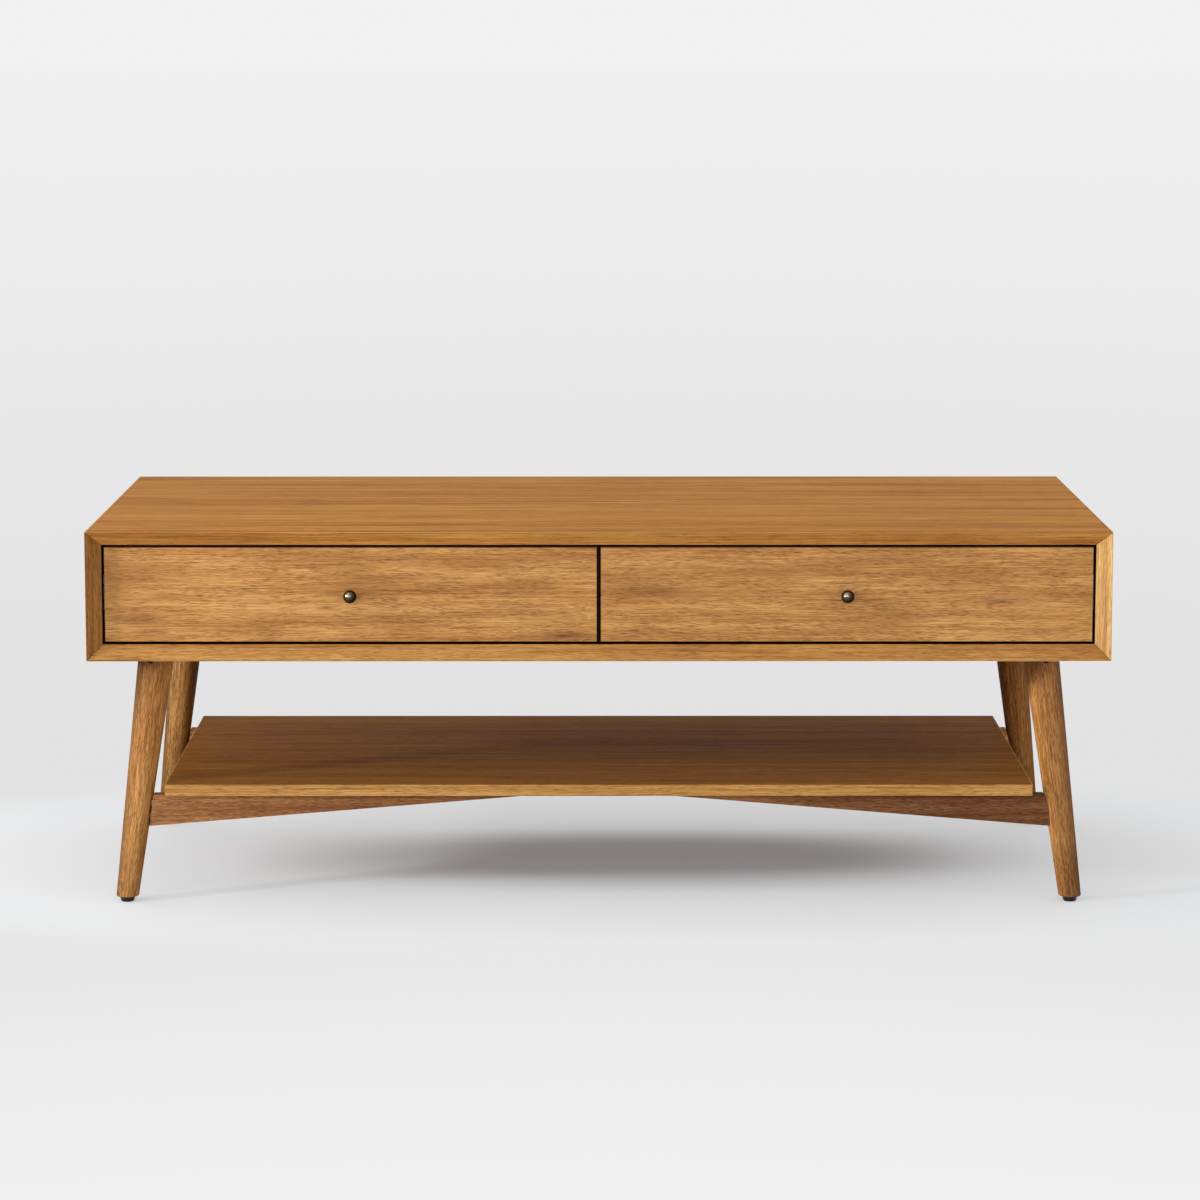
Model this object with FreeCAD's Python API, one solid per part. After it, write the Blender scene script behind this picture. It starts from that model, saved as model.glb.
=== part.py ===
import FreeCAD, Part
import math
import os

# Storage coffee table: a mitred case with two inset drawers on four splayed legs,
# and a thin shelf carried between the legs by a front and a back rail.
# Millimetres. X runs along the table, Y from the drawer fronts to the back and Z up.
# The origin is on the floor below the middle of the case.

# Overall sizes
table_length = 1219.0
table_depth = 610.0
table_height = 457.0
case_height = 154.5

# Case boards: mitred at the corners, edges sloping inwards at front and back
board = 17.5
bevel_depth = 20.0
rim_land = 1.0
case_edge_round = 1.0
housing_depth = 6.0
back_thickness = 9.0
back_inset = 6.0
spline_thickness = 4.0
spline_width = 16.0
spline_end_margin = 12.0
spline_place_share = 0.4

# Legs: round, tapered in a straight line and splayed both ways
leg_top_diameter = 43.5
leg_foot_diameter = 27.0
leg_end_inset = 74.5
leg_front_inset = 94.0
leg_splay_out = 37.0
leg_splay_front = 37.0
leg_socket_depth = 8.0
leg_socket_play = 0.15
leg_foot_chamfer = 1.0

# Glides: a flared nylon foot with a pin that is driven into the leg
glide_height = 6.5
glide_top_diameter = 19.0
glide_bottom_diameter = 15.5
glide_edge = 0.8
glide_pin_diameter = 3.5
glide_pin_length = 16.0
glide_pin_play = 0.05

# Leg fixing: a socket-head bolt down the leg's axis into a barrel nut
bolt_diameter = 6.0
bolt_head_diameter = 10.0
bolt_head_height = 6.0
bolt_key_width = 5.0
bolt_key_sides = 6
bolt_key_depth = 3.0
bolt_past_nut = 3.0
bolt_play = 0.3
bolt_thread_play = 0.05
washer_diameter = 12.0
washer_thickness = 1.6
spot_face_diameter = 14.0
spot_face_depth = 1.5
nut_diameter = 10.0
nut_length = 16.0
nut_drop = 11.5
nut_turn = 10.0
nut_play = 0.25

# Shelf and its rails
shelf_top = 143.5
shelf_thickness = 14.0
shelf_end_setback = 14.8
shelf_overhang = 7.5
shelf_edge_round = 0.8
rail_thickness = 19.0
rail_end_height = 38.0
rail_flat_half = 77.0
rail_tongue = 6.0
rail_tongue_setback = 5.0
rail_end_gap = 0.3

# Dowels from the rails into the legs
dowel_diameter = 8.0
dowel_in_rail = 25.0
dowel_in_leg = 16.0
dowel_play = 0.1
dowel_edge = 0.8
dowel_drop_shares = (0.27, 0.68)

# Screws from below through the rails into the shelf
shelf_screw_diameter = 4.0
shelf_screw_length = 28.0
shelf_screw_cover = 4.0
shelf_counterbore_play = 0.15
shelf_screw_place_shares = (0.62, 0.85)

# Drawer fronts
reveal = 3.0
middle_reveal = 4.5
front_thickness = 18.0
front_edge_round = 0.8

# Drawer boxes: dovetailed boards with a bottom in grooves
box_board = 12.0
box_lift = 12.0
box_top_space = 16.0
box_back_space = 57.0
bottom_thickness = 6.0
bottom_lift = 8.0
bottom_groove = 6.0
tail_count = 3
tail_width_share = 0.66
tail_slope_share = 1 / 6
tail_place_share = 0.5

# Drawer slides: three nested steel members in the space beside each box
slide_space = 12.7
slide_height = 45.0
slide_end_space = 27.0
slide_sheet = 1.2
slide_bend_radius = 1.0
slide_play = 0.4
slide_setback = 3.0
slide_lip = 4.5
slide_box_gap = 0.7
slide_web_gap = 2.6
inner_web_height = 28.0
slide_screw_shares = (0.1, 0.62)

# Rubber bumpers on the divider's front edge, which stop the closed drawers
divider_setback = 3.0
bumper_diameter = 5.5
bumper_play = 0.3
bumper_height_shares = (0.2, 0.8)

# Round-head wood screws, and the play round their shanks
screw_head_share = 2.0
screw_head_height_share = 0.55
screw_crown_share = 0.7
screw_tip_share = 0.8
screw_play = 0.05
slide_screw_diameter = 3.5
slide_screw_reach = 8.0
front_screw_diameter = 4.0
front_screw_reach = 25.0
front_screw_x_shares = (0.12, 0.88)
front_screw_z_shares = (0.3, 0.8)

# Knobs: a ball on a neck, held by a screw from inside the box
knob_ball_diameter = 16.0
knob_projection = 26.0
knob_base_diameter = 10.0
knob_base_thickness = 1.5
knob_neck_diameter = 7.0
knob_flare = 1.5
knob_screw_diameter = 4.0
knob_screw_reach = 9.0
knob_screw_end_play = 1.0

# How far cuts run past what they cut
overrun = 5.0

# Places worked out from the sizes above
half_length = table_length / 2
half_depth = table_depth / 2
underside = table_height - case_height
inner_x = half_length - board
inner_top = table_height - board
inner_bottom = underside + board
slope_y = half_depth - bevel_depth
back_rear = slope_y - back_inset
back_front = back_rear - back_thickness
front_face = -slope_y
box_front = front_face + front_thickness
divider_half = board / 2
divider_front = box_front + divider_setback
box_rear = back_front - box_back_space
front_left = middle_reveal / 2
front_right = inner_x - reveal
front_low = inner_bottom + reveal
front_high = inner_top - reveal
shelf_bottom = shelf_top - shelf_thickness

X = FreeCAD.Vector(1, 0, 0)
Y = FreeCAD.Vector(0, 1, 0)
Z = FreeCAD.Vector(0, 0, 1)


def vec(x, y, z):
    return FreeCAD.Vector(x, y, z)


def block(x0, x1, y0, y1, z0, z1):
    return Part.makeBox(x1 - x0, y1 - y0, z1 - z0, vec(x0, y0, z0))


def rod(start, direction, diameter, length):
    return Part.makeCylinder(diameter / 2, length, start, direction)


def prism(points, run):
    face = Part.Face(Part.makePolygon(points + points[:1]))
    return face.extrude(run)


# A prism whose corners are rounded: corners holds (point, radius)
def rounded_prism(corners, run):
    ends = []
    arcs = []
    for number, (point, radius) in enumerate(corners):
        before = (corners[number - 1][0] - point).normalize()
        after = (corners[(number + 1) % len(corners)][0] - point).normalize()
        half_angle = before.getAngle(after) / 2
        start = point + before * (radius / math.tan(half_angle))
        end = point + after * (radius / math.tan(half_angle))
        inward = (before + after).normalize()
        middle = point + inward * (radius / math.sin(half_angle) - radius)
        ends.append((start, end))
        arcs.append(Part.Arc(start, middle, end).toShape() if radius > 0 else None)
    edges = []
    for number, (start, end) in enumerate(ends):
        if arcs[number]:
            edges.append(arcs[number])
        edges.append(Part.makeLine(end, ends[(number + 1) % len(ends)][0]))
    return Part.Face(Part.Wire(edges)).extrude(run)


# A turned piece: profile holds (radius, distance along the axis) from axis to axis
def turned(profile, base, direction):
    axis = FreeCAD.Vector(direction).normalize()
    side = axis.cross(X if abs(axis.x) < abs(axis.z) + abs(axis.y) else Z).normalize()
    points = [base + side * radius + axis * distance for radius, distance in profile]
    return Part.Face(Part.makePolygon(points + points[:1])).revolve(base, axis, 360)


def flip(shape, normal, through=0.0):
    return shape.mirror(normal * through, normal)


def all_corners(shape):
    front = [shape, flip(shape, X)]
    return front + [flip(piece, Y) for piece in front]


def cut_all(shape, tools):
    return shape.cut(Part.makeCompound(tools))


def save(node, *solids):
    shape = solids[0] if len(solids) == 1 else Part.makeCompound(list(solids))
    shape.exportStep("parts/" + node + ".step")


# A round-head wood screw whose head bears on seat, with its point along direction
def screw(seat, direction, diameter, reach):
    head = screw_head_share * diameter / 2
    head_height = screw_head_height_share * diameter
    tip = screw_tip_share * diameter
    profile = [
        (0, -head_height),
        (screw_crown_share * head, -head_height),
        (head, -head_height / 2),
        (head, 0),
        (diameter / 2, 0),
        (diameter / 2, reach - tip),
        (0, reach),
    ]
    return turned(profile, seat, direction)


def screw_hole(seat, direction, diameter, reach):
    return rod(seat, direction, diameter + 2 * screw_play, reach + screw_play)


# Legs

leg_top = vec(half_length - leg_end_inset, -(half_depth - leg_front_inset), underside)
leg_foot = leg_top + vec(leg_splay_out, -leg_splay_front, -underside)
leg_down = (leg_foot - leg_top).normalize()
leg_lean = -leg_down.z


# Point on the axis of the front right leg at height z
def leg_axis(z):
    return leg_top + leg_down * ((underside - z) / leg_lean)


def leg_radius(z):
    taper = (leg_top_diameter - leg_foot_diameter) / 2 / (underside - glide_height)
    return leg_top_diameter / 2 - taper * (underside - z)


def leg_cone(z_low, z_high, extra):
    low = leg_axis(z_low)
    length = (leg_axis(z_high) - low).Length
    radii = (leg_radius(z_low) + extra, leg_radius(z_high) + extra)
    return Part.makeCone(*radii, length, low, -leg_down)


def leg_shaft(z_low, z_high, extra):
    cone = leg_cone(z_low - overrun, z_high + overrun, extra)
    reach = leg_top_diameter
    middle = leg_axis((z_low + z_high) / 2)
    slab = block(
        middle.x - reach,
        middle.x + reach,
        middle.y - reach,
        middle.y + reach,
        z_low,
        z_high,
    )
    return cone.common(slab)


def lowest_edge(shape):
    return min(shape.Edges, key=lambda edge: edge.CenterOfMass.z)


# The bolt's seat: the centre of a spot face cut square to the leg's axis
bolt_seat = leg_axis(inner_bottom) + leg_down * spot_face_depth
nut_centre = leg_axis(underside - nut_drop)
nut_axis = FreeCAD.Rotation(leg_down, -nut_turn).multVec(leg_down.cross(X).normalize())
bolt_reach = (nut_centre - bolt_seat).Length + washer_thickness + nut_diameter / 2 + bolt_past_nut


def leg_bolt():
    head_seat = bolt_seat - leg_down * washer_thickness
    shank = rod(head_seat, leg_down, bolt_diameter, bolt_reach)
    head = rod(head_seat - leg_down * bolt_head_height, leg_down, bolt_head_diameter, bolt_head_height)
    side = leg_down.cross(Y).normalize()
    turn = 360 / bolt_key_sides
    corner = side * (bolt_key_width / 2 / math.cos(math.radians(turn / 2)))
    crown = head_seat - leg_down * bolt_head_height
    turns = [FreeCAD.Rotation(leg_down, turn * number) for number in range(bolt_key_sides)]
    key = prism([crown + rotation.multVec(corner) for rotation in turns], leg_down * bolt_key_depth)
    return shank.fuse(head).cut(key)


def leg_washer():
    disc = rod(bolt_seat, -leg_down, washer_diameter, washer_thickness)
    return disc.cut(rod(bolt_seat, -leg_down, bolt_diameter + 2 * bolt_play, washer_thickness))


def barrel_nut():
    nut = rod(nut_centre - nut_axis * (nut_length / 2), nut_axis, nut_diameter, nut_length)
    bore = rod(
        nut_centre - leg_down * nut_diameter,
        leg_down,
        bolt_diameter + 2 * bolt_thread_play,
        2 * nut_diameter,
    )
    return nut.cut(bore)


# The nut goes in from the front or back of the table, where its hole stays open
def barrel_nut_hole():
    start = nut_centre - nut_axis * (nut_length / 2 + nut_play)
    return rod(start, nut_axis, nut_diameter + 2 * nut_play, nut_length / 2 + leg_top_diameter)


def bolt_hole():
    start = bolt_seat - leg_down * overrun
    return rod(start, leg_down, bolt_diameter + 2 * bolt_play, bolt_reach + 2 * overrun)


def glide():
    foot = leg_axis(glide_height)
    base = vec(foot.x, foot.y, 0)
    profile = [
        (0, 0),
        (glide_bottom_diameter / 2 - glide_edge, 0),
        (glide_bottom_diameter / 2, glide_edge),
        (glide_top_diameter / 2, glide_height),
        (glide_pin_diameter / 2, glide_height),
        (glide_pin_diameter / 2, glide_height + glide_pin_length - glide_pin_diameter),
        (0, glide_height + glide_pin_length),
    ]
    return turned(profile, base, Z)


def glide_pin_hole():
    foot = leg_axis(glide_height)
    return rod(foot, Z, glide_pin_diameter + 2 * glide_pin_play, glide_pin_length + glide_pin_play)


# Rails and shelf

rail_y = -leg_axis(shelf_bottom - rail_end_height / 2).y
rail_outer_y = rail_y + rail_thickness / 2
splay_slope = leg_splay_out / underside


# End of a rail at height z, cut parallel to the leg's axis
def rail_end(z):
    across = math.sqrt(1 + splay_slope ** 2)
    touch = leg_axis(shelf_bottom).x - leg_radius(shelf_bottom) * across
    return touch - rail_end_gap + splay_slope * (shelf_bottom - z)


shelf_half = rail_end(shelf_bottom) - shelf_end_setback
tongue_half = shelf_half - rail_tongue_setback
rail_low = shelf_bottom - rail_end_height


# Underside of a rail: it rises in a straight line from each leg to the flat middle
def rail_underside(x):
    share = (x - rail_flat_half) / (rail_end(rail_low) - rail_flat_half)
    return shelf_bottom - share * rail_end_height


def rail_blank():
    right = [
        (tongue_half, shelf_bottom + rail_tongue),
        (tongue_half, shelf_bottom),
        (rail_end(shelf_bottom), shelf_bottom),
        (rail_end(rail_low), rail_low),
        (rail_flat_half, shelf_bottom),
    ]
    left = [(-x, z) for x, z in reversed(right)]
    points = [vec(x, -rail_outer_y, z) for x, z in right + left]
    return prism(points, vec(0, rail_thickness, 0))


def dowel_heights():
    return [shelf_bottom - share * rail_end_height for share in dowel_drop_shares]


# A dowel through the joint between the front rail and the front right leg
def rail_dowel(z):
    start = vec(rail_end(z) - dowel_in_rail, -rail_y, z)
    length = dowel_in_rail + dowel_in_leg
    radius = dowel_diameter / 2
    profile = [
        (0, 0),
        (radius - dowel_edge, 0),
        (radius, dowel_edge),
        (radius, length - dowel_edge),
        (radius - dowel_edge, length),
        (0, length),
    ]
    return turned(profile, start, X)


def dowel_hole(z):
    start = vec(rail_end(z) - dowel_in_rail - dowel_play, -rail_y, z)
    return rod(start, X, dowel_diameter + 2 * dowel_play, dowel_in_rail + dowel_in_leg + 2 * dowel_play)


def shelf_screw_seat(share):
    return vec(share * shelf_half, -rail_y, shelf_top - shelf_screw_cover - shelf_screw_length)


def shelf_screw(share):
    return screw(shelf_screw_seat(share), Z, shelf_screw_diameter, shelf_screw_length)


def shelf_screw_hole(share):
    seat = shelf_screw_seat(share)
    bore = screw_hole(seat, Z, shelf_screw_diameter, shelf_screw_length)
    head = screw_head_share * shelf_screw_diameter + 2 * shelf_counterbore_play
    depth = seat.z - rail_underside(seat.x) + overrun
    return bore.fuse(rod(seat, -Z, head, depth))


# Case

def case_envelope():
    case = block(-half_length, half_length, -half_depth, half_depth, underside, table_height)
    along = [edge for edge in case.Edges if edge.BoundBox.YLength > half_depth]
    return case.makeFillet(case_edge_round, along)


def outline(y, x, low, high):
    points = [vec(-x, y, low), vec(x, y, low), vec(x, y, high), vec(-x, y, high)]
    return Part.makePolygon(points + points[:1])


# The space inside the sloping front edges, a shallow four-sided funnel
def front_funnel():
    wide = outline(-half_depth, half_length - rim_land, underside + rim_land, table_height - rim_land)
    narrow = outline(-slope_y, inner_x, inner_bottom, inner_top)
    return Part.makeLoft([wide, narrow], True, True)


def case_board(corners, envelope, cuts):
    points = [vec(x, -half_depth, z) for x, z in corners]
    blank = prism(points, vec(0, table_depth, 0)).common(envelope)
    return cut_all(blank, cuts)


# A loose tongue across the mitre of the upper right corner
def upper_right_spline():
    middle = inner_x + board * spline_place_share
    level = inner_top + board * spline_place_share
    along = spline_width / 2 / math.sqrt(2)
    thick = spline_thickness / 2 / math.sqrt(2)
    start = -slope_y + spline_end_margin
    points = [
        vec(middle - along - thick, start, level + along - thick),
        vec(middle - along + thick, start, level + along + thick),
        vec(middle + along + thick, start, level - along + thick),
        vec(middle + along - thick, start, level - along - thick),
    ]
    return prism(points, vec(0, back_front - spline_end_margin - start, 0))


def mitre_splines():
    upper = [upper_right_spline(), flip(upper_right_spline(), X)]
    return upper + [flip(spline, Z, underside + case_height / 2) for spline in upper]


def back_blank():
    return block(
        -inner_x - housing_depth,
        inner_x + housing_depth,
        back_front,
        back_rear,
        inner_bottom - housing_depth,
        inner_top + housing_depth,
    )


def divider_blank():
    return block(
        -divider_half,
        divider_half,
        divider_front,
        back_front,
        inner_bottom - housing_depth,
        inner_top + housing_depth,
    )


# Bumpers of the right drawer, clear of the reveal between the fronts
def bumpers():
    x = (front_left + divider_half) / 2
    run = divider_setback - bumper_play
    heights = [inner_bottom + share * (inner_top - inner_bottom) for share in bumper_height_shares]
    return [rod(vec(x, divider_front, z), -Y, bumper_diameter, run) for z in heights]


# Slides of the right bay, drawn beside the case wall and mirrored to the divider

bay_middle = (divider_half + inner_x) / 2
slide_level = (inner_bottom + inner_top) / 2
slide_front = box_front + slide_setback
slide_length = box_rear - slide_end_space - slide_front
lip_edge = slide_space - slide_box_gap
inner_lip = lip_edge - slide_sheet - slide_play
outer_bend = slide_bend_radius + slide_sheet


# Bent sheet, open towards the other member: profile holds the upper half's corners as
# (depth, height, radius), and the lower half is its mirror image
def slide_member(profile):
    mirrored = [(depth, -height, radius) for depth, height, radius in reversed(profile)]
    corners = []
    for depth, height, radius in profile + mirrored:
        corners.append((vec(inner_x - depth, slide_front, slide_level + height), radius))
    return rounded_prism(corners, vec(0, slide_length, 0))


# Fixed to the case: an open channel with its lips turned in
def case_member():
    top = slide_height / 2
    flange = top - slide_sheet
    lip = top - slide_lip
    profile = [
        (0, top, outer_bend),
        (lip_edge, top, outer_bend),
        (lip_edge, lip, 0),
        (lip_edge - slide_sheet, lip, 0),
        (lip_edge - slide_sheet, flange, slide_bend_radius),
        (slide_sheet, flange, slide_bend_radius),
    ]
    return slide_member(profile)


# Between the two others: the same channel one play smaller
def middle_member():
    back = slide_sheet + slide_web_gap
    top = slide_height / 2 - slide_sheet - slide_play
    flange = top - slide_sheet
    lip = inner_web_height / 2 + slide_play
    profile = [
        (back, top, outer_bend),
        (inner_lip, top, outer_bend),
        (inner_lip, lip, 0),
        (inner_lip - slide_sheet, lip, 0),
        (inner_lip - slide_sheet, flange, slide_bend_radius),
        (back + slide_sheet, flange, slide_bend_radius),
    ]
    return slide_member(profile)


# Fixed to the drawer: a hat section with its brim held behind the lips
def drawer_member():
    web = inner_web_height / 2
    brim = slide_height / 2 - 2 * slide_sheet - 2 * slide_play
    brim_edge = inner_lip - slide_sheet - slide_play
    profile = [
        (slide_space, web, outer_bend),
        (brim_edge, web, slide_bend_radius),
        (brim_edge, brim, 0),
        (brim_edge - slide_sheet, brim, 0),
        (brim_edge - slide_sheet, web - slide_sheet, outer_bend),
        (slide_space - slide_sheet, web - slide_sheet, slide_bend_radius),
    ]
    return slide_member(profile)


def slide_screw_places():
    return [slide_front + share * slide_length for share in slide_screw_shares]


# Both sides of the right bay
def both_sides(shape):
    return [shape, flip(shape, X, bay_middle)]


def case_screw_seats():
    return [vec(inner_x - slide_sheet, y, slide_level) for y in slide_screw_places()]


def drawer_screw_seats():
    return [vec(inner_x - slide_space + slide_sheet, y, slide_level) for y in slide_screw_places()]


def side_fixings(make, seats, direction):
    fixings = []
    reach = slide_sheet + slide_screw_reach
    for seat in seats:
        fixings += both_sides(make(seat, direction, slide_screw_diameter, reach))
    return fixings


# Drawer of the right bay

box_left = divider_half + slide_space
box_right = inner_x - slide_space
box_low = inner_bottom + box_lift
box_high = inner_top - box_top_space
box_height = box_high - box_low
knob_x = (front_left + front_right) / 2
knob_z = (front_low + front_high) / 2


# Tails on the end of a side board, wide at y_end and narrow at y_base
def tail_row(x, y_end, y_base):
    pitch = box_height / tail_count
    wide = pitch * tail_width_share / 2
    narrow = wide - tail_slope_share * box_board
    tails = []
    for number in range(tail_count):
        level = box_low + pitch * (number + tail_place_share)
        points = [
            vec(x, y_end, level - wide),
            vec(x, y_end, level + wide),
            vec(x, y_base, level + narrow),
            vec(x, y_base, level - narrow),
        ]
        tails.append(prism(points, vec(box_board, 0, 0)))
    return tails


def side_tails(x):
    front = tail_row(x, box_front, box_front + box_board)
    rear = tail_row(x, box_rear, box_rear - box_board)
    return front + rear


def drawer_bottom():
    reach = box_board - bottom_groove
    low = box_low + bottom_lift
    return block(
        box_left + reach,
        box_right - reach,
        box_front + reach,
        box_rear - reach,
        low,
        low + bottom_thickness,
    )


def box_side(x, cuts):
    middle = block(x, x + box_board, box_front + box_board, box_rear - box_board, box_low, box_high)
    return cut_all(middle.multiFuse(side_tails(x)).removeSplitter(), cuts)


def box_end(y, cuts):
    blank = block(box_left, box_right, y, y + box_board, box_low, box_high)
    return cut_all(blank, side_tails(box_left) + side_tails(box_right - box_board) + cuts)


def front_screw_seats():
    seats = []
    for x_share in front_screw_x_shares:
        for z_share in front_screw_z_shares:
            x = box_left + x_share * (box_right - box_left)
            seats.append(vec(x, box_front + box_board, box_low + z_share * box_height))
    return seats


def drawer_front(cuts):
    blank = block(front_left, front_right, front_face, box_front, front_low, front_high)
    rim = [edge for edge in blank.Edges if edge.BoundBox.YMax < front_face + front_edge_round]
    return cut_all(blank.makeFillet(front_edge_round, rim), cuts)


knob_seat = vec(knob_x, front_face, knob_z)
knob_screw_seat = vec(knob_x, box_front + box_board, knob_z)
knob_screw_length = box_board + front_thickness + knob_screw_reach


def knob():
    ball = knob_ball_diameter / 2
    centre = knob_projection - ball
    neck = knob_neck_diameter / 2
    base = knob_base_diameter / 2
    stem = turned(
        [
            (0, 0),
            (base, 0),
            (base, knob_base_thickness),
            (neck, knob_base_thickness + knob_flare),
            (neck, centre),
            (0, centre),
        ],
        knob_seat,
        -Y,
    )
    head = Part.makeSphere(ball, knob_seat - Y * centre)
    bore = rod(
        knob_seat,
        -Y,
        knob_screw_diameter + 2 * screw_play,
        knob_screw_reach + knob_screw_end_play,
    )
    return stem.fuse(head).cut(bore)


def knob_fixing(make):
    return make(knob_screw_seat, -Y, knob_screw_diameter, knob_screw_length)


def front_fixings(make):
    return [make(seat, -Y, front_screw_diameter, front_screw_reach) for seat in front_screw_seats()]


def drawer():
    bottom = drawer_bottom()
    front_holes = front_fixings(screw_hole) + [knob_fixing(screw_hole)]
    side_holes = side_fixings(screw_hole, drawer_screw_seats(), -X)
    inner = [cut_all(member, side_holes) for member in both_sides(drawer_member())]
    return {
        "drawer_front": [drawer_front(front_holes)],
        "drawer_box_front": [box_end(box_front, [bottom] + front_holes)],
        "drawer_box_back": [box_end(box_rear - box_board, [bottom])],
        "drawer_inner_side": [box_side(box_left, [bottom] + side_holes)],
        "drawer_outer_side": [box_side(box_right - box_board, [bottom] + side_holes)],
        "drawer_bottom": [bottom],
        "drawer_knob": [knob()],
        "knob_screw": [knob_fixing(screw)],
        "drawer_front_screws": front_fixings(screw),
        "drawer_slide_members": inner,
        "drawer_slide_screws": side_fixings(screw, drawer_screw_seats(), -X),
        "middle_slide_members": both_sides(middle_member()),
    }


os.makedirs("parts", exist_ok=True)

# Case boards with their housings, sockets and holes
envelope = case_envelope()
funnels = [front_funnel(), flip(front_funnel(), Y)]
back = back_blank()
divider = divider_blank()
splines = mitre_splines()
case_fixing_holes = side_fixings(screw_hole, case_screw_seats(), X)
case_fixing_holes += [flip(hole, X) for hole in case_fixing_holes]
shared_cuts = funnels + splines + [back]

upper = [
    (-half_length, table_height),
    (half_length, table_height),
    (inner_x, inner_top),
    (-inner_x, inner_top),
]
lower = [
    (-half_length, underside),
    (half_length, underside),
    (inner_x, inner_bottom),
    (-inner_x, inner_bottom),
]
right = [upper[1], lower[1], lower[2], upper[2]]
left = [upper[0], lower[0], lower[3], upper[3]]

socket = leg_shaft(underside, underside + leg_socket_depth, leg_socket_play)
spot_face = rod(bolt_seat, -leg_down, spot_face_diameter, spot_face_depth + overrun)
leg_cuts = all_corners(socket.fuse(bolt_hole())) + all_corners(spot_face)

save("top_panel", case_board(upper, envelope, shared_cuts + [divider]))
save("bottom_panel", case_board(lower, envelope, shared_cuts + [divider] + leg_cuts))
save("right_side_panel", case_board(right, envelope, shared_cuts + case_fixing_holes))
save("left_side_panel", case_board(left, envelope, shared_cuts + case_fixing_holes))
save("mitre_splines", *splines)
save("centre_divider", cut_all(divider, case_fixing_holes))
save("back_panel", back)
save("drawer_bumpers", *(bumpers() + [flip(bumper, X) for bumper in bumpers()]))

# Legs with what is in them
dowel_holes = [dowel_hole(z) for z in dowel_heights()]
leg = leg_shaft(glide_height, underside + leg_socket_depth, 0)
leg = leg.makeChamfer(leg_foot_chamfer, [lowest_edge(leg)])
leg = cut_all(leg, [barrel_nut_hole(), bolt_hole(), glide_pin_hole()] + dowel_holes)
for name, piece in zip(("front_right", "front_left", "back_right", "back_left"), all_corners(leg)):
    save(name + "_leg", piece)
save("leg_glides", *all_corners(glide()))
save("leg_bolts", *all_corners(leg_bolt()))
save("leg_washers", *all_corners(leg_washer()))
save("leg_barrel_nuts", *all_corners(barrel_nut()))

# Rails and shelf
rail_holes = dowel_holes + [shelf_screw_hole(share) for share in shelf_screw_place_shares]
rail_holes += [flip(hole, X) for hole in rail_holes]
front_rail = cut_all(rail_blank(), rail_holes)
shelf = block(
    -shelf_half,
    shelf_half,
    -rail_outer_y - shelf_overhang,
    rail_outer_y + shelf_overhang,
    shelf_bottom,
    shelf_top,
)
shelf = shelf.makeFillet(shelf_edge_round, shelf.Edges)
shelf_cuts = [rail_blank(), flip(rail_blank(), Y)]
for share in shelf_screw_place_shares:
    shelf_cuts += all_corners(shelf_screw_hole(share))
save("front_rail", front_rail)
save("back_rail", flip(front_rail, Y))
save("rail_dowels", *[piece for z in dowel_heights() for piece in all_corners(rail_dowel(z))])
save("lower_shelf", cut_all(shelf, shelf_cuts))
shelf_screws = [shelf_screw(share) for share in shelf_screw_place_shares]
save("shelf_screws", *[piece for fixing in shelf_screws for piece in all_corners(fixing)])

# Slide members and screws that stay on the case
fixed_members = [cut_all(member, case_fixing_holes) for member in both_sides(case_member())]
fixed_screws = side_fixings(screw, case_screw_seats(), X)
save("right_case_slide_members", *fixed_members)
save("left_case_slide_members", *[flip(member, X) for member in fixed_members])
save("case_slide_screws", *(fixed_screws + [flip(piece, X) for piece in fixed_screws]))

# The right drawer, and the left one as its mirror image
for name, pieces in drawer().items():
    save("right_" + name, *pieces)
    save("left_" + name, *[flip(piece, X) for piece in pieces])
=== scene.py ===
from math import pi, radians

import bpy
from mathutils import Matrix, Vector


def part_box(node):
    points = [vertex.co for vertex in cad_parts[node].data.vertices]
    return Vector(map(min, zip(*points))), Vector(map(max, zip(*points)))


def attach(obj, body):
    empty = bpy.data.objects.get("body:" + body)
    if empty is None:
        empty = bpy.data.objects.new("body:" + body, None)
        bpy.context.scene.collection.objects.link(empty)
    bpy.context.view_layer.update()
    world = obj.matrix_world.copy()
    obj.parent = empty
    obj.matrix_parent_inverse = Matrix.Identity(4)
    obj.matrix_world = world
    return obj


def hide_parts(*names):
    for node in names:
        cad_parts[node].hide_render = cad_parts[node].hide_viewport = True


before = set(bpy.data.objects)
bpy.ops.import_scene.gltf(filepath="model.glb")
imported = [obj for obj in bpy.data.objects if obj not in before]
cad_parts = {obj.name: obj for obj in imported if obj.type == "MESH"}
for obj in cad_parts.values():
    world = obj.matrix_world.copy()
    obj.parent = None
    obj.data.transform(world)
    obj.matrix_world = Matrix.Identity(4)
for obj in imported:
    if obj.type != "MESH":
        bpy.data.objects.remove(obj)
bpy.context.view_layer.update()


# The case boards
# Fibreboard veneered in acacia, its sloping front and back edges too, and mitred at the corners
# so that the grain runs on round the case. The arrises of the narrow rim are sanded off by half a
# millimetre. Stained honey brown under satin lacquer, which gives a soft sheen over the streaks.
# The sloping edges carry painted light and shade, the rim a painted highlight, and the faces
# inside the case painted shade.

def linear(colour):
    """An sRGB colour, written as six hex digits, as the linear values that Blender takes."""
    values = [int(colour[place:place + 2], 16) / 255 for place in (0, 2, 4)]
    return [v / 12.92 if v <= 0.04045 else ((v + 0.055) / 1.055) ** 2.4 for v in values] + [1.0]


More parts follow.
